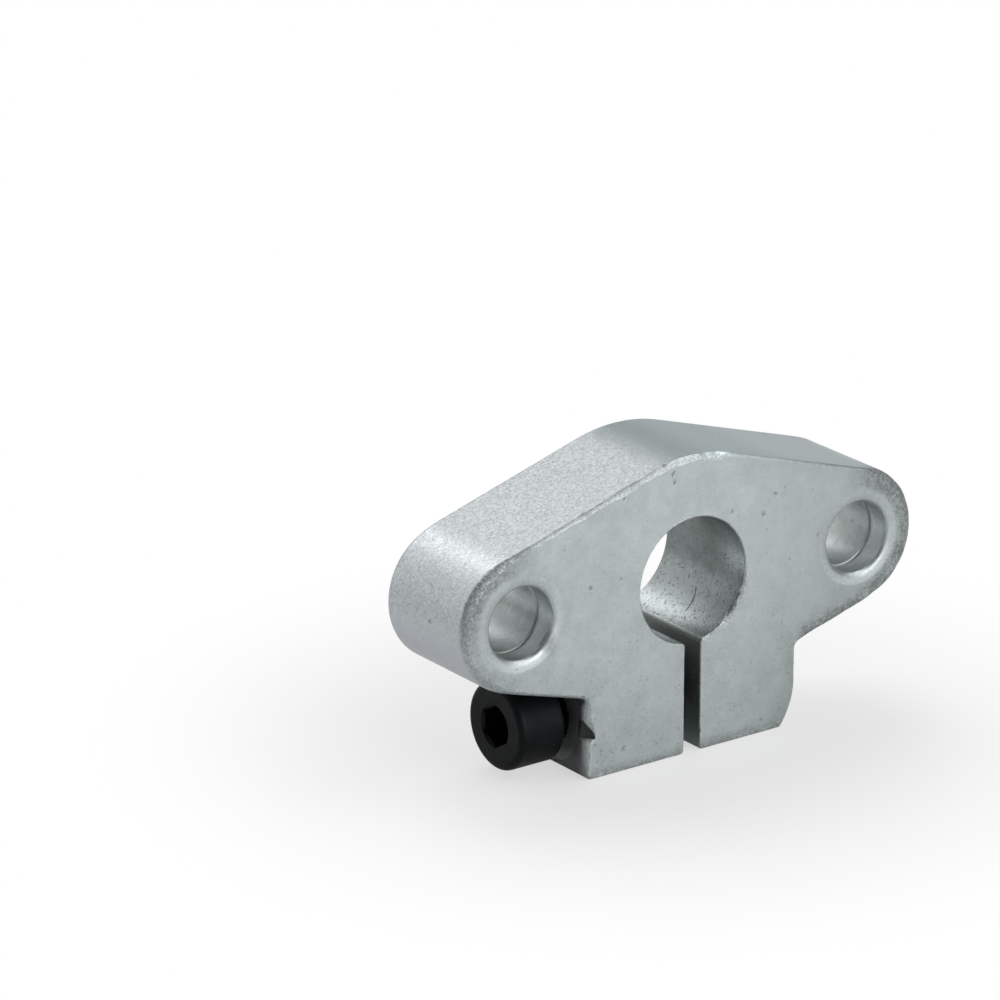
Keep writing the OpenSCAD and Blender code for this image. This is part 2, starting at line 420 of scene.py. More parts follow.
def dark_marks(tree, at, worn, chipped):
    """Dirt in the worn rims, pits and specks, and one long scratch in the bore, with painted shade along the
    drill's step and the bore's throat
    """
    x, y, z, place = at.x, at.y, at.z, at.place
    patch = tree.noise(place, 0.9, 2)
    dirt = worn.high(chipped * 0.5) * (at.speck * 0.75 + patch * 0.45).rise(0.5, 0.74)
    # a rubbed patch in the left dish
    off_x, off_z = x + 13.6, z + 2
    rubbed = ((off_x * off_x + off_z * off_z * 0.5) ** 0.5 + at.haze * 0.8).fall(0.6, 1.5)
    rubbed = rubbed * y.fall(-4.5, -4.3) * (at.grain * 0.9 + 0.1)

    # pits pushed out of round, and more faint specks low on the foot
    push = tree.add("ShaderNodeTexNoise", None, {"Vector": place, "Scale": 3.5}, "Color")
    shaken = tree.add("ShaderNodeVectorMath", {"operation": "MULTIPLY_ADD"}, [push, (0.5, 0.5, 0.5), place])
    pit, small_pit = (
        tree.cells(shaken, scale).fall(inner, 0.13)
        * tree.cells(shaken, scale, "Color").parts()[part].rise(few, few + 0.04)
        for scale, inner, part, few in ((0.46, 0.03, 1, 0.74), (1.1, 0.04, 0, 0.8)))
    low = z.fall(-14, 2)
    faint = tree.noise(place, 4.5, 2, 0.6).rise(0.58, 0.72)
    faint = faint * (0.15 + patch.rise(0.45, 0.62) * low * 0.45 + at.bored * 0.2)
    smudge = tree.noise(place, 2.4, 4, 0.75).rise(0.56, 0.75) * low * at.face * 0.42

    # the scratch is part of a parabola over the bore's wall
    along = z + 2.94
    scratch = abs(y + 0.11 - along * 0.83 - along * along * 0.256).fall(0.02, 0.07)
    scratch = scratch * at.bored * x.rise(0, 1) * z.rise(-4.4, -4.2) * z.fall(-3, -2.8)
    # painted shade along the drill's step
    step = at.drilled * abs(y + 2.89).fall(0.02, 0.045) * 0.5
    # painted shade on the rounded corner where the slit meets the bore
    throat = abs(x).rise(0.7, 0.78) * abs(x).fall(0.88, 0.98) * z.fall(-4.88, -4.8) * z.rise(-5.3, -5.1)
    return functools.reduce(Wire.high, (
        dirt * 0.65, rubbed * 0.75, pit * 0.6, small_pit * 0.4, faint, smudge, scratch * 0.6, step,
        throat * 0.5))


def foot_side(at):
    """Two masks of painted shade: the foot's side under the flange, with the screw head's shadow round its
    seat, and the nick's inside, nearly black
    """
    x, y, z = at.x, at.y, at.z
    below = z + SCREW_DROP
    painted_head_shadow = ((y * y + below * below) ** 0.5).fall(3.6, 4.8) * 0.15
    painted_foot_shade = x.fall(-9.9, -9.6) * (z.fall(-12, -9.5) * y.rise(-5, -3.6) * 0.85).high(painted_head_shadow)
    # the nick's inside gets painted shade, nearly black
    in_from_side = x + HALF_FOOT - z.fall(-10.5, -9.1) * 0.72
    nick = in_from_side.fall(0, 0.08) * z.rise(-10.8, -10.68) * z.fall(-9.4, -9.1) * y.fall(-4, -3.6)
    return painted_foot_shade, nick


def block_material(finish):
    """Extruded aluminium: sawn faces, blasted skin, worn edges, bored and drilled walls"""
    material, tree, place = new_material("tumbled_aluminium")
    at = BlockPlace(tree, place)
    skin, fine, grain, sparkle = at.skin, at.fine, at.grain, at.sparkle
    # painted shade in the narrow slit: darker than the faces, darkest towards the base and lighter towards
    # the bore
    slit_painted_shade = tree.blend(rgba(finish.face, 0.55), rgba(SLIT_TOP), at.z.rise(-10, -5))
    # the dishes are polished, with a painted highlight low down where they face the light; the filed burr is
    # bright
    polish_and_painted_highlight = at.dished * (0.1 + at.z.fall(-3.5, -1.5) * 0.25 + sparkle * 0.2)
    worn = worn_rims(at)
    chipped = at.front * at.from_bore.fall(5.2, 5.7) * at.x.rise(0.5, 2) * at.z.fall(-1.5, 0.5)
    dark = dark_marks(tree, at, worn, chipped)
    painted_foot_shade, nick = foot_side(at)
    colour = tree.layers(
        sawn_face(tree, finish, at),
        (blasted_skin(tree, finish, at), skin),
        (bore_wall(tree, finish, at), at.bored),
        (drilled_wall(tree, at), at.drilled),
        (slit_painted_shade, at.slit),
        (rgba(finish.skin, 1.9), polish_and_painted_highlight.high(at.burr * fine.rise(0.3, 0.6))),
        # worn edges: a dull base, bright grains, and dark specks where dirt sits in them
        (rgba(finish.face, 0.55), worn * 0.8),
        (rgba(finish.skin, 2), chipped * sparkle * 0.7),
        (rgba(finish.skin, 2), at.edge.high(worn * 0.5) * sparkle * 0.45),
        # dirt, pits and specks, with painted shade at the drill's step and the bore's throat
        (rgba(finish.dirt), dark),
        # painted shade on the foot's side under the flange, and the head's painted shadow round its seat
        (rgba(finish.dirt), painted_foot_shade),
        # painted shade, nearly black, inside the foot's nick
        (rgba(finish.dirt, 0.12), nick * 0.97))

    saw = tree.noise(tree.stretched(place, (0.6, 0.6, 9)), 1, 3, 0.6)
    sawn_roughness = 0.42 + fine * 0.1 + dark * 0.2 - at.bored.high(at.drilled) * 0.16
    skin_roughness = 0.34 + grain * 0.12 + worn * 0.2
    height = (
        at.face * (1 - skin) * (fine * 0.014 + saw * 0.004)
        + skin * at.coarseness * (grain * 0.024 + at.glint * 0.008 + at.coarse * 0.012)
        + at.bored * (at.rings * 0.004 + fine * 0.012)
        + at.drilled * at.rings * 0.03
        + at.edge.high(chipped) * sparkle * 0.03
        + worn * at.speck * 0.04
        - dark * 0.05)
    finish_material(tree, {
        "Base Color": colour, "Metallic": 1 - dark.high(nick) * 0.7,
        "Roughness": sawn_roughness * (1 - skin) + skin * skin_roughness + at.burr * 0.2}, height)
    return material


def screw_material(finish):
    """Black oxide on turned steel, with a light film of oil"""
    material, tree, place = new_material("black_oxide")
    cloud = tree.noise(place, 0.8, 3)
    fine = tree.noise(place, 9, 3, 0.6)
    turned = tree.noise(tree.stretched(place, (12, 0.6, 0.6)), 1, 2)
    level = (cloud * 0.5 + fine * 0.3 + turned * 0.2).rise(0.3, 0.7)
    fleck = tree.cells(place, 1.1).fall(0.03, 0.08)
    fleck = fleck * tree.cells(place, 1.1, "Color").parts()[0].rise(0.75, 0.8)
    colour = tree.layers(
        rgba(finish.oxide, 0.75), (rgba(finish.oxide, 1.3), level), (rgba(OXIDE_FLECK), fleck * 0.4))
    finish_material(tree, {
        "Base Color": colour, "Metallic": 0.85, "Roughness": 0.48 + fine * 0.12 - level * 0.05},
        fine * 0.004 + turned * 0.004)
    return material


# ---------------------------------------------------------------- the block's outline


def arc(centre, radius, start, end, step):
    """Points on an arc between two directions in degrees"""
    count = max(3, math.ceil(abs(math.radians(end - start)) * radius / step))
    angles = [math.radians(start + (end - start) * k / count) for k in range(count + 1)]
    return [(centre[0] + radius * math.cos(a), centre[1] + radius * math.sin(a)) for a in angles]


def line(start, end, step):
    """Points between two others, without either"""
    count = max(1, math.ceil(math.dist(start, end) / step))
    return [tuple(s + (e - s) * k / count for s, e in zip(start, end)) for k in range(1, count)]


def block_outline(sizes):
    """The block's closed outline seen along the shaft, as (stretch, x, z), with the metal on its left"""
    step, bore, half_slit = sizes.step, sizes.bore_radius, sizes.slit_width / 2
    base, end_x, foot_x = BLOCK_LOW.z, sizes.hole_pitch / 2, sizes.foot_width / 2
    end_r = BLOCK_HIGH.x - end_x
    crown_r, crown_z = sizes.crown_radius, BLOCK_HIGH.z - sizes.crown_radius
    slope, under = sizes.underside_slope, math.degrees(sizes.underside_slope)
    shoulder = math.degrees(
        math.asin((crown_r - end_r) / math.hypot(end_x, crown_z)) - math.atan(-crown_z / end_x))

    # radii of the small corners, and how far up the right jaw's sweep is centred, as a share of its radius
    inner, corner, lip, mouth, left, right = 0.5, 0.5, 0.35, 0.3, 0.35, 0.25
    sweep_share = 0.65
    inner_x = foot_x + inner
    inner_z = (inner_x - end_x) * math.tan(slope) - (end_r + inner) / math.cos(slope)
    sweep_r = sizes.sweep_radius
    sweep = (foot_x - sweep_r, base + sweep_share * sweep_r)
    lip_z = base + lip
    lip_x = sweep[0] + math.sqrt((sweep_r - lip) ** 2 - (lip_z - sweep[1]) ** 2)
    lip_end = math.degrees(math.atan2(lip_z - sweep[1], lip_x - sweep[0]))

    def throat(side, radius):
        """Where the slit meets the bore: the centre of the worn corner, and its direction from the bore"""
        x = half_slit + radius
        z = -math.sqrt((bore + radius) ** 2 - x ** 2)
        return (side * x, z), math.degrees(math.atan2(-z, x))

    left_at, left_end = throat(-1, left)
    right_at, right_end = throat(1, right)

    # a name alone is the straight line between its neighbours
    stretches = [
        ("crown", arc((0, crown_z), crown_r, 90 - shoulder, 90 + shoulder, step)),
        "shoulder_left",
        ("end_left", arc((-end_x, 0), end_r, 90 + shoulder, 270 - under, step)),
        "under_left",
        ("inner_left", arc((-inner_x, inner_z), inner, 90 - under, 0, step / 2)),
        "foot_left",
        ("corner", arc((-foot_x + corner, base + corner), corner, 180, 270, step / 2)),
        "base",
        ("mouth", arc((-half_slit - mouth, base + mouth), mouth, 270, 360, step / 2)),
        "slit",
        ("throat", arc(left_at, left, 0, left_end, step / 2)),
        ("bore", arc((0, 0), bore, 180 + left_end, -right_end, step)),
        ("throat", arc(right_at, right, 180 - right_end, 180, step / 2)),
        "slit",
        ("mouth", arc((half_slit + mouth, base + mouth), mouth, 180, 270, step / 2)),
        "base",
        ("corner", arc((lip_x, lip_z), lip, -90, lip_end, step / 2)),
        ("foot_right", arc(sweep, sweep_r, lip_end, 0, step)),
        "foot_right",
        ("inner_right", arc((inner_x, inner_z), inner, 180, 90 + under, step / 2)),
        "under_right",
        ("end_right", arc((end_x, 0), end_r, under - 90, 90 - shoulder, step)),
        "shoulder_right",
    ]
    points = []
    for k, stretch in enumerate(stretches):
        if isinstance(stretch, str):
            name, made = stretch, line(points[-1][1:], stretches[(k + 1) % len(stretches)][1][0], step)
        else:
            name, made = stretch
        if points and math.dist(points[-1][1:], made[0]) < step / 10:
            made = made[1:]
        points += [(name, x, z) for x, z in made]
    return points


# how one stretch of the outline meets the front and the back face, in mm, and how its wall looks
Edge = collections.namedtuple(
    "Edge", "width depth back worn burr skin rough widest", defaults=(0, 0, 1, 0.15, 9))
EDGES = {
    "crown": Edge(0.3, 0.3, 0.35, burr=0.5, rough=0.3),
    "shoulder_left": Edge(0.26, 0.28, 0.35, burr=0.6, rough=0.45),
    "end_left": Edge(0.7, 0.6, 0.6, rough=0.2),
    "under_left": Edge(0.35, 0.35, 0.4, worn=0.1),
    "inner_left": Edge(0.3, 0.3, 0.3, worn=0.3),
    "foot_left": Edge(0.42, 0.45, 0.3, burr=0.3),
    "corner": Edge(0.22, 0.22, 0.2, worn=0.1, widest=0.28),
    "base": Edge(0.2, 0.2, 0.2, worn=0.2),
    "mouth": Edge(0.18, 0.18, 0.18, worn=0.1, skin=0, widest=0.22),
    "slit": Edge(0.14, 0.14, 0.14, burr=0.2, skin=0),
    "throat": Edge(0.1, 0.12, 0.12, worn=0.3, skin=0, widest=0.1),
    "bore": Edge(0.16, 0.16, 0.18, burr=0.3, skin=0, rough=0.3),
    "foot_right": Edge(0.3, 0.3, 0.3, worn=0.3),
    "inner_right": Edge(0.3, 0.3, 0.3, worn=0.2),
    "under_right": Edge(0.5, 0.55, 0.4, worn=0.7, rough=0.25),
    "end_right": Edge(0.75, 0.8, 0.6, worn=0.9, rough=0.2),
    "shoulder_right": Edge(0.2, 0.22, 0.35, worn=0.1, rough=0.3),
}

# numbers that change along a stretch, as (place, number): places in X on the crown and in Z elsewhere
CROWN_BURR_WIDTH = (
    (-12, 0.26), (-6, 0.32), (-3, 0.4), (0, 0.46), (3, 0.52), (4, 0.28), (5.5, 0.2), (11, 0.16))
CROWN_BURR_DEPTH = (
    (-12, 0.28), (-6, 0.3), (-1, 0.36), (2.2, 0.3), (3, 0.08), (5, 0.1), (9, 0.12), (12, 0.2))
CROWN_BURR = ((-12, 0.6), (-4, 0.8), (3, 1), (4.5, 0.8), (8, 0.6), (10, 0))
BORE_CHIPS = ((-4.8, 0.75), (-2.5, 1), (-0.5, 0.45), (1.2, 0))
FOOT_STRIP = ((-13.4, 0.3), (-10.8, 0.5), (-10.65, 0.8), (-10.3, 0.8), (-9.6, 0.55), (-9.2, 0.5))
FOOT_STRIP_DEPTH = ((-10.8, 1.7), (-10.6, 1.1), (-10, 1.1), (-9.2, 1.7))
NICK = ((-10.8, 0), (-10.65, 1), (-9.9, 1), (-9.2, 0))
# how much of an edge's wear is left at each distance down the wall
WORN_DOWN_THE_WALL = ((0, 1), (0.1, 0.7), (1.3, 0.12), (2.6, 0))


def between(value, stops):
    """A number read off straight lines between (place, number) stops"""
    if value <= stops[0][0]:
        return stops[0][1]
    for (a, p), (b, q) in zip(stops, stops[1:]):
        if value <= b:
            return p + (q - p) * (value - a) / (b - a)
    return stops[-1][1]


def softened(values, reach):
    """A closed row of numbers, each the mean of those up to reach places away"""
    count = len(values)
    return [sum(values[(k + j) % count] for j in range(-reach, reach + 1)) / (2 * reach + 1)
            for k in range(count)]


def rough_at(x, z, size, seed):
    return noise.noise(Vector((x / size, z / size, seed)))


# the distance over which one stretch's edge turns into the next one's, in mm
SOFTENED_OVER = 0.9


def edge_rows(outline, sizes):
    """For each point of the outline, its edge's numbers: softened from stretch to stretch, then roughened"""
    rows = {field: [getattr(EDGES[name], field) for name, x, z in outline] for field in Edge._fields}
    rows["hollow"] = [0] * len(outline)
    reach = round(SOFTENED_OVER / sizes.step)
    for field in ("width", "depth", "back", "worn", "burr", "rough"):
        rows[field] = softened(rows[field], reach)
    for k, (name, x, z) in enumerate(outline):
        ragged = 1 + rows["rough"][k] * (1.3 * rough_at(x, z, 0.9, 1) + 0.9 * rough_at(x, z, 0.33, 5))
        wide = rows["width"][k] * ragged
        deep = rows["depth"][k] * (1 + rows["rough"][k] * 1.3 * rough_at(x, z, 0.7, 9))
        if name == "crown" or (name.startswith("shoulder") and abs(x) < 12):
            # the burr that was filed off the crown's front edge, widest a little right of the middle
            wide = between(x, CROWN_BURR_WIDTH) * ragged
            deep = between(x, CROWN_BURR_DEPTH) * ragged
            rows["burr"][k] = between(x, CROWN_BURR)
        if name == "bore" and x > 0.8 and z < 1.5:
            # chips along the bore's lower right rim
            chip = max(0, rough_at(x, z, 0.3, 21) + 0.3) * between(z, BORE_CHIPS) * 0.32
            wide, deep = wide + chip, deep + chip * 0.5
            rows["burr"][k] = min(1, rows["burr"][k] + between(z, BORE_CHIPS))
        if name == "foot_left":
            # a bright strip, cut by a hollow nick
            wide = between(z, FOOT_STRIP) * ragged
            deep = wide * between(z, FOOT_STRIP_DEPTH)
            rows["hollow"][k] = between(z, NICK)
        rows["width"][k] = min(wide, rows["widest"][k])
        rows["depth"][k] = min(deep, rows["widest"][k] * 2)
    for field in ("width", "depth"):
        rows[field] = [min(a, b) for a, b in zip(softened(rows[field], 1), rows["widest"])]
    return rows


# ---------------------------------------------------------------- the block's mesh


class Shell:
    """Vertices in millimetres with named numbers on them, and the faces between them"""

    NUMBERS = ("skin", "edge", "worn", "burr")

    def __init__(self):
        self.points, self.faces = [], []
        self.numbers = {name: [] for name in self.NUMBERS}

    def point(self, x, y, z, **numbers):
        self.points.append((x, y, z))
        for name in self.NUMBERS:
            self.numbers[name].append(numbers.get(name, 0))
        return len(self.points) - 1

    def band(self, one, other):
        """Quads between two closed rows of vertices"""
        count = len(one)
        for k in range(count):
            j = (k + 1) % count
            self.faces.append((one[k], one[j], other[j], other[k]))

    def plate(self, outer, holes, spread, y):
        """Fills the flat space inside a closed row, but for its holes, with points spread over it"""
        loops = [outer, *holes]
        rim = [vertex for loop in loops for vertex in loop]
        places = [Vector((self.points[v][0], self.points[v][2])) for v in rim]
        edges, first = [], 0
        for loop in loops:
            edges += [(first + k, first + (k + 1) % len(loop)) for k in range(len(loop))]
            first += len(loop)
        places += [Vector(place) for place in spread]
        made, _, triangles, origins, _, _ = delaunay_2d_cdt(places, edges, [], 1, 1e-6)
        known = [rim[o[0]] if o and o[0] < len(rim) else self.point(p.x, y, p.y)
                 for o, p in zip(origins, made)]
        inside = [set(hole) for hole in holes]
        for triangle in triangles:
            face = tuple(known[v] for v in triangle)
            if not any(hole.issuperset(face) for hole in inside):
                self.faces.append(face)

    def mesh(self, name):
        mesh = bpy.data.meshes.new(name)
        mesh.from_pydata([[c * MM for c in p] for p in self.points], [], self.faces)
        for label, values in self.numbers.items():
            mesh.attributes.new(label, "FLOAT", "POINT").data.foreach_set("value", values)
        bm = bmesh.new()
        bm.from_mesh(mesh)
        bmesh.ops.recalc_face_normals(bm, faces=bm.faces)
        bm.to_mesh(mesh)
        bm.free()
        return mesh


def outward(outline):
    """Unit directions out of the metal, one for each point of the outline"""
    made, count = [], len(outline)
    for k in range(count):
        _, ax, az = outline[k - 1]
        _, bx, bz = outline[(k + 1) % count]
        length = math.hypot(bx - ax, bz - az)
        made.append(((bz - az) / length, -(bx - ax) / length))
    return made


def rounded_edge(share, flat):
    """How far in and how far down a worn edge is, from 0 at the face to 1 at the wall"""
    angle = share * math.pi / 2
    inset, depth = 1 - math.sin(angle), 1 - math.cos(angle)
    return inset + (1 - share - inset) * flat, depth + (share - depth) * flat


def outline_wall(shell, outline, sizes):
    """The wall along the outline with its two worn edges; returns its front and back rows"""
    rows, normals = edge_rows(outline, sizes), outward(outline)
    front, back = BLOCK_LOW.y, BLOCK_HIGH.y
    steps, support, plies = 6, 0.05, 8

    def profile(k):
        """From front to back at one point of the outline: how far in, Y, and how much edge and skin it is"""
        width, depth, rear = rows["width"][k], rows["depth"][k], rows["back"][k]
        flat = min(1, rows["burr"][k]) + rows["hollow"][k]
        made = [(width + support, front, 0, 0)]
        for share in (s / steps for s in range(steps + 1)):
            inset, down = rounded_edge(share, flat)
            edge = math.sin(math.pi * min(0.5 + share / 2, share + 0.25))
            made.append((inset * width, front + down * depth, edge, share))
        start, end = front + depth + support, back - rear - support
        made += [(0, start + (end - start) * (p / plies), 0, 1) for p in range(plies + 1)]
        for share in (s / steps for s in range(steps, -1, -1)):
            inset, down = rounded_edge(share, 0)
            made.append((inset * rear, back - down * rear, math.sin(math.pi * share), share))
        return made + [(rear + support, back, 0, 0)]

    made = []
    for ring in zip(*map(profile, range(len(outline)))):
        row = []
        for k, (inset, y, edge, skin) in enumerate(ring):
            (_, x, z), (nx, nz) = outline[k], normals[k]
            below = min(y - front - rows["depth"][k], (back - y - rows["back"][k]) * 2)
            row.append(shell.point(
                x - nx * inset, y, z - nz * inset, skin=skin * rows["skin"][k], edge=edge,
                worn=rows["worn"][k] * between(below, WORN_DOWN_THE_WALL), burr=rows["burr"][k] * edge))
        made.append(row)
    for one, other in zip(made, made[1:]):
        shell.band(one, other)
    return made[0], made[-1]


# how far outside a hole's dish the flat face starts
DISH_RIM = 0.06
# each ring of the chamfer at a hole's back: how much wider it is, and how far short of the back face
BACK_CHAMFER = ((0, 0.32), (0.02, 0.27), (0.28, 0.01), (0.3, 0), (0.36, 0))


def hole_wall(shell, x, sizes):
    """A mounting hole: worn dish, wider mouth with the drill's step, and a small chamfer at the back"""
    front, length, count = BLOCK_LOW.y, BLOCK_HIGH.y - BLOCK_LOW.y, 96
    hole, mouth, dish = sizes.hole_radius, sizes.mouth_radius, sizes.dish_radius
    profile = [(dish + DISH_RIM, 0)]
    for k in range(9):
        share = math.sin(math.pi / 2 * k / 8)
        profile.append((dish - (dish - mouth - 0.01) * share, 0.1 * share + 0.26 * share ** 7))
    profile += [(mouth, depth) for depth in (0.36, 0.7, 1.2, 1.9, 2.06)]
    profile += [(mouth - 0.02, 2.1), (hole + 0.03, 2.12), (hole, 2.15), (hole, 2.25)]
    profile += [(hole, length * share) for share in (0.35, 0.45, 0.55, 0.7, 0.85)]
    profile += [(hole + wider, length - short) for wider, short in BACK_CHAMFER]
    rows = []
    for k, (radius, depth) in enumerate(profile):
        row = []
        for j in range(count):
            a = 2 * math.pi * j / count
            uneven = 0
            if 1 <= k <= 7:
                uneven = 0.1 * noise.noise(Vector((math.cos(a) * 1.1, math.sin(a) * 1.1, 3 + x)))
                uneven -= 0.13 * (1 + math.sin(a + 0.4))
            r = radius + uneven * (1 - k / 9)
            row.append(shell.point(
                x + r * math.cos(a), front + depth, r * math.sin(a), edge=0.5 if k == 9 else 0, worn=0.15))
        rows.append(row)
    for one, other in zip(rows, rows[1:]):
        shell.band(one, other)
    return rows[0], rows[-1]


def spread_over(outline, spacing, sizes):
    """Points spread evenly over a face, clear of its rims"""
    rims = [(x, z) for _, x, z in outline]

    def inside(x, z):
        crossings = 0
        for (ax, az), (bx, bz) in zip(rims, rims[1:] + rims[:1]):
            if (az > z) != (bz > z) and x < ax + (bx - ax) * (z - az) / (bz - az):
                crossings += 1
        return crossings % 2 == 1

    def clear(x, z):
        if math.hypot(abs(x) - sizes.hole_pitch / 2, z) < sizes.dish_radius + 0.4:
            return False
        return inside(x, z) and min(math.hypot(x - a, z - b) for a, b in rims) > 1.3

    made, row, z = [], 0, BLOCK_LOW.z
    while z < BLOCK_HIGH.z:
        x = BLOCK_LOW.x + (spacing / 2 if row % 2 else 0)
        while x < BLOCK_HIGH.x:
            if clear(x, z):
                made.append((x, z))
            x += spacing
        z += spacing * math.sqrt(0.75)
        row += 1
    return made


# ---------------------------------------------------------------- threads


def thread_group():
    """Geometry Nodes: a wall round the X axis with a right-hand thread, and what its sockets are called"""
    group = bpy.data.node_groups.new("screw_thread", "GeometryNodeTree")
    sockets = {}
    lengths = ("Start", "Length", "Pitch", "Crest Radius", "Root Radius", "Run In", "Run Out", "Tip Radius")
    kinds = {**dict.fromkeys(lengths, "Float"), "Segments": "Int", "Rows": "Int", "Material": "Material"}
    for name, kind in kinds.items():
        socket = group.interface.new_socket(name, in_out="INPUT", socket_type=f"NodeSocket{kind}")
        sockets[name] = socket.identifier
    group.interface.new_socket("Mesh", in_out="OUTPUT", socket_type="NodeSocketGeometry")
    tree = Tree(group)
    given = group.nodes.new("NodeGroupInput")

    def value(name):
        return Wire(tree, given.outputs[name])

    grid = tree.add("GeometryNodeMeshGrid", None, {
        "Size X": 1, "Size Y": 1,
        "Vertices X": value("Segments") + 1, "Vertices Y": value("Rows")}, "Mesh")
    place = tree.add("GeometryNodeInputPosition")
    across, along, _ = place.parts()
    turn, along = across + 0.5, (along + 0.5) * value("Length")
    phase = ((along + value("Start")) / value("Pitch") - turn).maths("FRACT")
    ramp = abs(phase - 0.5) * 2
    ridge = tree.add("ShaderNodeMapRange", None, [ramp, 0.25, 0.875, 0, 1])
    ridge = ridge * along.rise(0, value("Run In")) * (value("Length") - along).rise(0, value("Run Out"))
    radius = value("Root Radius") + (value("Crest Radius") - value("Root Radius")) * ridge
    radius = radius.low(value("Tip Radius") + value("Length") - along)
    angle = turn * (2 * math.pi)
    moved = tree.add("ShaderNodeCombineXYZ", None, [
        along + value("Start"), radius * angle.maths("COSINE"), radius * angle.maths("SINE")])
    wall = tree.add("GeometryNodeSetPosition", None, {"Geometry": grid, "Position": moved})
    wall = tree.add("GeometryNodeMergeByDistance", None, {"Geometry": wall, "Distance": 1e-7})
    wall = tree.add("GeometryNodeSetShadeSmooth", None, {"Geometry": wall})
    wall = tree.add("GeometryNodeRealizeInstances", None, {"Geometry": wall})
    wall = tree.add("GeometryNodeSetMaterial", None, {"Geometry": wall, "Material": value("Material")})
    tree.add("NodeGroupOutput", None, [wall])
    return group, sockets


# rows of points along one turn of a thread
ROWS_PER_TURN = 10


def threaded_wall(name, material, screw, start, end, **sizes):
    """A plain mesh of the thread group's result on the screw's axis, for sizes in mm"""
    group, sockets = thread_group()
    carrier = new_object(name, bpy.data.meshes.new(name))
    modifier = carrier.modifiers.new("thread", "NODES")
    modifier.node_group = group
    lengths = {"Start": start, "Length": end - start, "Pitch": screw.pitch}
    lengths.update({label.replace("_", " ").title(): size for label, size in sizes.items()})
    inputs = {label: length * MM for label, length in lengths.items()}
    inputs["Segments"], inputs["Rows"] = screw.segments, round((end - start) / screw.pitch * ROWS_PER_TURN)
    inputs["Material"] = material
    for label, value in inputs.items():
        modifier[sockets[label]] = value
    bpy.context.view_layer.update()
    mesh = applied(carrier, modifier)
    bpy.data.objects.remove(carrier)
    bpy.data.node_groups.remove(group)
    mesh.transform(Matrix.Translation((0, 0, SCREW_AXIS * MM)))
    return mesh


# ---------------------------------------------------------------- pieces


def new_object(name, mesh):
    made = bpy.data.objects.new(name, mesh)
    bpy.context.scene.collection.objects.link(made)
    return made


def applied(piece, modifier):
    """A plain mesh of a piece as its modifier shapes it; the modifier is removed"""
    evaluated = piece.evaluated_get(bpy.context.evaluated_depsgraph_get())
    mesh = bpy.data.meshes.new_from_object(evaluated)
    piece.modifiers.remove(modifier)
    return mesh


# edges that turn by more than this are drawn sharp
SHARP = math.radians(32)


def shade(mesh, material):
    mesh.materials.clear()
    mesh.materials.append(material)
    mesh.shade_smooth()
    mesh.set_sharp_from_angle(angle=SHARP)


def closed_mesh(bm, name, merge=1e-7):
    """The mesh with its doubles merged, what is open closed, and its faces turned outwards"""
    bmesh.ops.remove_doubles(bm, verts=bm.verts, dist=merge)
    rims = [edge for edge in bm.edges if edge.is_boundary]
    if rims:
        bmesh.ops.holes_fill(bm, edges=rims, sides=0)
    bmesh.ops.recalc_face_normals(bm, faces=bm.faces)
    mesh = bpy.data.meshes.new(name)
    bm.to_mesh(mesh)
    bm.free()
    return mesh


def check_closed(mesh):
    """Stops the script where a piece has a hole or a stray face"""
    bm = bmesh.new()
    bm.from_mesh(mesh)
    stray = [edge for edge in bm.edges if not edge.is_manifold]
    bm.free()
    if stray:
        raise RuntimeError(f"{mesh.name} isn't closed: {len(stray)} edges")


def turned(bm, profile, count, start=0):
    """Rows of a surface turned about the screw's axis, from (along, radius or function of the angle)"""
    rows = []
    for along, radius in profile:
        row = []
        for k in range(count):
            a = 2 * math.pi * k / count
            r = radius(a) if callable(radius) else radius
            y, z = r * math.cos(a), SCREW_AXIS + r * math.sin(a)
            row.append(bm.verts.new(Vector((start + along, y, z)) * MM))
        rows.append(row)
    for one, other in zip(rows, rows[1:]):
        for k in range(count):
            j = (k + 1) % count
            bm.faces.new((one[k], one[j], other[j], other[k]))
    return rows


def screw_hole_cutter(sizes, screw, material):
    """What the spot-facer, the drill and the tap took out of the foot, as one closed tool along X"""
    # radii of the seat, the clearance hole and the tapped hole, and the small chamfer under the seat
    seat, clear, tapped, chamfer = 3.8, 2.25, 2.05, (0.12, 0.15)
    seat_x, tip_x, side_x = SCREW_LOW.x + 5.2, SCREW_HIGH.x + 0.15, sizes.foot_width / 2
    mouth_x, crest = side_x - 0.35, screw.root_radius + 0.08
    bm = bmesh.new()
    rows = turned(bm, [
        (BLOCK_LOW.x - 1, seat), (seat_x, seat), (seat_x, clear + chamfer[1]), (seat_x + chamfer[0], clear),
        (0, clear), (0, tapped), (tip_x, tapped)], screw.segments)
    bm.faces.new(rows[0])
    bm.from_mesh(threaded_wall(
        "tapped_hole", material, screw, tip_x, mouth_x,
        crest_radius=crest, root_radius=tapped, run_in=0.3, run_out=0.3, tip_radius=9))
    # the lead-in, straight on through the foot's side
    turned(bm, [(mouth_x, tapped), (side_x + 0.2, tapped + 0.55)], screw.segments)
    return new_object("screw_hole_tool", closed_mesh(bm, "screw_hole_tool"))


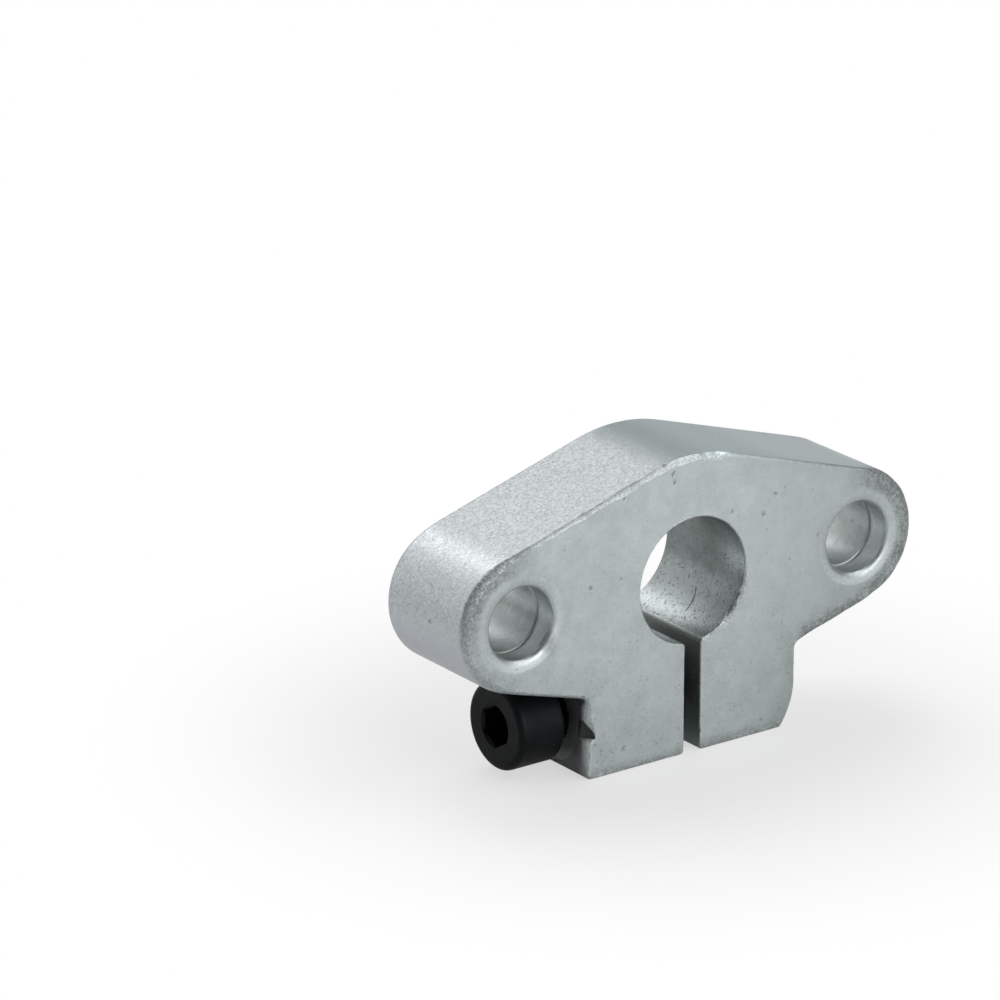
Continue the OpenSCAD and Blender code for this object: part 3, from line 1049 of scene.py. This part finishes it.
class SHAFT_OT_block(bpy.types.Operator):
    """Makes the finished block in place of its plain solid"""

    bl_idname = "shaft.block"
    bl_label = "Block"

    def execute(self, context):
        sizes, screw = context.scene.shaft_block, context.scene.shaft_screw
        material = block_material(context.scene.shaft_finish)
        outline = block_outline(sizes)
        shell = Shell()
        rims = [outline_wall(shell, outline, sizes)]
        rims += [hole_wall(shell, side * sizes.hole_pitch / 2, sizes) for side in (-1, 1)]
        spread = spread_over(outline, 1.2, sizes)
        for face, y in enumerate((BLOCK_LOW.y, BLOCK_HIGH.y)):
            shell.plate(rims[0][face], [rim[face] for rim in rims[1:]], spread, y)
        block = new_object("split_block", shell.mesh("split_block"))
        tool = screw_hole_cutter(sizes, screw, material)
        cut = block.modifiers.new("screw_hole", "BOOLEAN")
        cut.operation, cut.solver, cut.object = "DIFFERENCE", "EXACT", tool
        block.data = applied(block, cut)
        bpy.data.objects.remove(tool)
        shade(block.data, material)
        check_closed(block.data)
        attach(block, "block")
        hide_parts(BLOCK_NODE)
        return {"FINISHED"}


def head_profile(sizes):
    """The head from the drill's point in its socket, over the face and the rim, to the neck"""
    head_r, rim, apothem = (SCREW_HIGH.z - SCREW_LOW.z) / 2, sizes.rim_radius, sizes.key_width / 2
    height, root, key, half_turn = sizes.head_height, sizes.root_radius, sizes.key_depth, math.radians(30)
    lead = apothem / math.cos(half_turn) + 0.03

    def hexagon(angle):
        away = (angle + half_turn) % (2 * half_turn) - half_turn
        return apothem / math.cos(away)

    profile = [
        (key + 0.7, 0.001), (key, apothem - 0.1), (key, hexagon), (key * 0.5, hexagon), (0.2, hexagon),
        (0, lead), (0, lead + 0.05), (0, (lead + head_r - rim) / 2), (0, head_r - rim - 0.05)]
    for k in range(7):
        a = math.pi / 2 * k / 6
        profile.append((rim * (1 - math.cos(a)), head_r - rim + rim * math.sin(a)))
    return profile + [
        (rim + 0.1, head_r), (height * 0.5, head_r), (height - 0.2, head_r), (height - 0.12, head_r),
        (height - 0.03, head_r - 0.04), (height, head_r - 0.12), (height, head_r - 0.2),
        (height, root + 0.6), (height, root + 0.25), (height + 0.07, root + 0.07), (height + 0.25, root)]


class SHAFT_OT_screw(bpy.types.Operator):
    """Makes the cap screw: head with its key socket, and threaded shank"""

    bl_idname = "shaft.screw"
    bl_label = "Cap screw"

    def execute(self, context):
        sizes = context.scene.shaft_screw
        material = screw_material(context.scene.shaft_finish)
        neck_x, root = SCREW_LOW.x + sizes.head_height + 0.25, sizes.root_radius
        bm = bmesh.new()
        turned(bm, head_profile(sizes), sizes.segments, SCREW_LOW.x)
        bm.from_mesh(threaded_wall(
            "shank", material, sizes, neck_x, SCREW_HIGH.x, crest_radius=sizes.crest_radius,
            root_radius=root, run_in=0.8, run_out=0.001, tip_radius=root - 0.02))
        made = closed_mesh(bm, "cap_screw", 2e-7)
        shade(made, material)
        check_closed(made)
        screw = new_object("cap_screw", made)
        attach(screw, "screw")
        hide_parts(SCREW_NODE)
        return {"FINISHED"}


class SHAFT_OT_stage(bpy.types.Operator):
    """Makes the pale floor, the soft light and the camera"""

    bl_idname = "shaft.stage"
    bl_label = "Stage"

    def execute(self, context):
        settings, scene = context.scene.shaft_stage, context.scene
        scene.view_settings.view_transform = "Standard"
        self.floor(settings)
        self.world(scene)
        for name, direction, power in LAMPS:
            self.lamp(name, direction, power)
        self.camera(scene, settings)
        return {"FINISHED"}

    def floor(self, settings):
        """White from afar, and near the block pale enough to keep its shadow"""
        half = FLOOR_HALF * MM
        mesh = bpy.data.meshes.new("floor")
        corners = [(-half, -half), (half, -half), (half, half), (-half, half)]
        mesh.from_pydata([(x, y, BLOCK_LOW.z * MM) for x, y in corners], [], [(0, 1, 2, 3)])
        floor = new_object("floor", mesh)
        material, tree, place = new_material("pale_floor")
        x, y, _ = place.parts()
        camera, shown = rays(tree)
        share = camera * (0.6 + ((x * x + y * y) ** 0.5).rise(12, 45) * 0.4) + shown * 0.12
        lit = tree.add("ShaderNodeBsdfDiffuse", None, {"Color": rgba(settings.floor)})
        white = tree.add("ShaderNodeEmission", None, {"Color": (1, 1, 1, 1), "Strength": 1})
        surface = tree.add("ShaderNodeMixShader", None, [share, lit, white])
        tree.add("ShaderNodeOutputMaterial", None, {"Surface": surface})
        mesh.materials.append(material)

    def world(self, scene):
        """White to the camera; for the block a dim grey, lighter behind it"""
        world = bpy.data.worlds.new("soft_studio")
        world.use_nodes = True
        world.node_tree.nodes.clear()
        tree = Tree(world.node_tree)
        direction = tree.add("ShaderNodeTexCoord", None, None, "Generated")
        camera, shown = rays(tree)
        level = 0.02 + direction.parts()[1].high(0) * 0.27 + shown * 0.03
        colour = tree.add(
            "ShaderNodeBackground", None, {"Color": (1, 1, 1, 1), "Strength": level.high(camera)})
        tree.add("ShaderNodeOutputWorld", None, {"Surface": colour})
        scene.world = world

    def lamp(self, name, direction, power):
        """A square soft lamp that looks at the block"""
        data = bpy.data.lights.new(name, "AREA")
        data.shape, data.size, data.energy = "SQUARE", LAMP_SIZE * MM, power
        lamp = bpy.data.objects.new(name, data)
        lamp.location = Vector(direction).normalized() * LAMP_AWAY * MM
        lamp.rotation_euler = (-lamp.location).to_track_quat("-Z", "Y").to_euler()
        bpy.context.scene.collection.objects.link(lamp)

    def camera(self, scene, settings):
        """Turned round the bore, then moved in its own plane so that the block sits where it should"""
        azimuth, elevation, roll = settings.azimuth, settings.elevation, settings.roll
        back = Vector((
            math.sin(azimuth) * math.cos(elevation), -math.cos(azimuth) * math.cos(elevation),
            math.sin(elevation)))
        right = Vector((math.cos(azimuth), math.sin(azimuth), 0))
        down = back.cross(right) * -1
        across = right * math.cos(roll) - down * math.sin(roll)
        fall = right * math.sin(roll) + down * math.cos(roll)
        place = back * settings.distance - across * settings.shift_right - fall * settings.shift_down
        data = bpy.data.cameras.new("camera")
        data.sensor_width, data.lens = 36, settings.lens
        data.clip_start, data.clip_end = 0.01, 100
        camera = bpy.data.objects.new("camera", data)
        camera.matrix_world = Matrix.Translation(place * MM) @ Matrix(
            (across, -fall, back)).transposed().to_4x4()
        scene.collection.objects.link(camera)
        scene.camera = camera


# half the floor's width, each square lamp's width and its distance, in mm
FLOOR_HALF, LAMP_SIZE, LAMP_AWAY = 5000, 280, 560
# name, direction, power in watts
LAMPS = (
    ("lamp_front_low", (0.2, -0.95, 0.25), 1.32),
    ("lamp_top_back", (0.1, 0.45, 0.88), 0.88),
    ("lamp_front_right", (0.4, -0.65, 0.65), 0.5),
    ("lamp_front_right_top", (0.55, -0.34, 0.76), 0.6),
    ("lamp_front_left", (-0.75, -0.6, 0.15), 0.19),
    ("lamp_right_back", (0.75, 0.65, 0.12), 0.18),
    ("lamp_back_high", (0.12, 0.75, 0.64), 0.28),
    ("lamp_back_left_high", (-0.4, 0.6, 0.7), 0.23),
    ("lamp_back", (0, 0.9, 0.42), 0.22),
    ("lamp_back_left", (-0.6, 0.75, 0.25), 0.21),
)


class SHAFT_PT_panel(bpy.types.Panel):
    """Lists the pieces and the sizes behind them"""

    bl_idname = "SHAFT_PT_panel"
    bl_label = "Shaft support block"
    bl_space_type = "VIEW_3D"
    bl_region_type = "UI"
    bl_category = "Shaft support"

    def draw(self, context):
        for operator, name in PIECES:
            self.layout.operator(operator.bl_idname)
            group = getattr(context.scene, name)
            column = self.layout.column(align=True)
            for field in group.bl_rna.properties.keys():
                if field not in ("rna_type", "name"):
                    column.prop(group, field)


# each operator with the settings shown under it
PIECES = (
    (SHAFT_OT_block, "shaft_block"),
    (SHAFT_OT_screw, "shaft_screw"),
    (SHAFT_OT_stage, "shaft_stage"),
)
GROUPS = {
    "shaft_block": BlockSizes, "shaft_screw": ScrewSizes,
    "shaft_finish": Finish, "shaft_stage": StageSettings}
CLASSES = (*GROUPS.values(), SHAFT_OT_block, SHAFT_OT_screw, SHAFT_OT_stage, SHAFT_PT_panel)


def register():
    for cls in CLASSES:
        bpy.utils.register_class(cls)
    for name, group in GROUPS.items():
        setattr(bpy.types.Scene, name, bpy.props.PointerProperty(type=group))


def unregister():
    for name in GROUPS:
        delattr(bpy.types.Scene, name)
    for cls in reversed(CLASSES):
        bpy.utils.unregister_class(cls)


def main():
    register()
    bpy.ops.shaft.block()
    bpy.ops.shaft.screw()
    bpy.ops.shaft.stage()


if __name__ == "__main__":
    main()
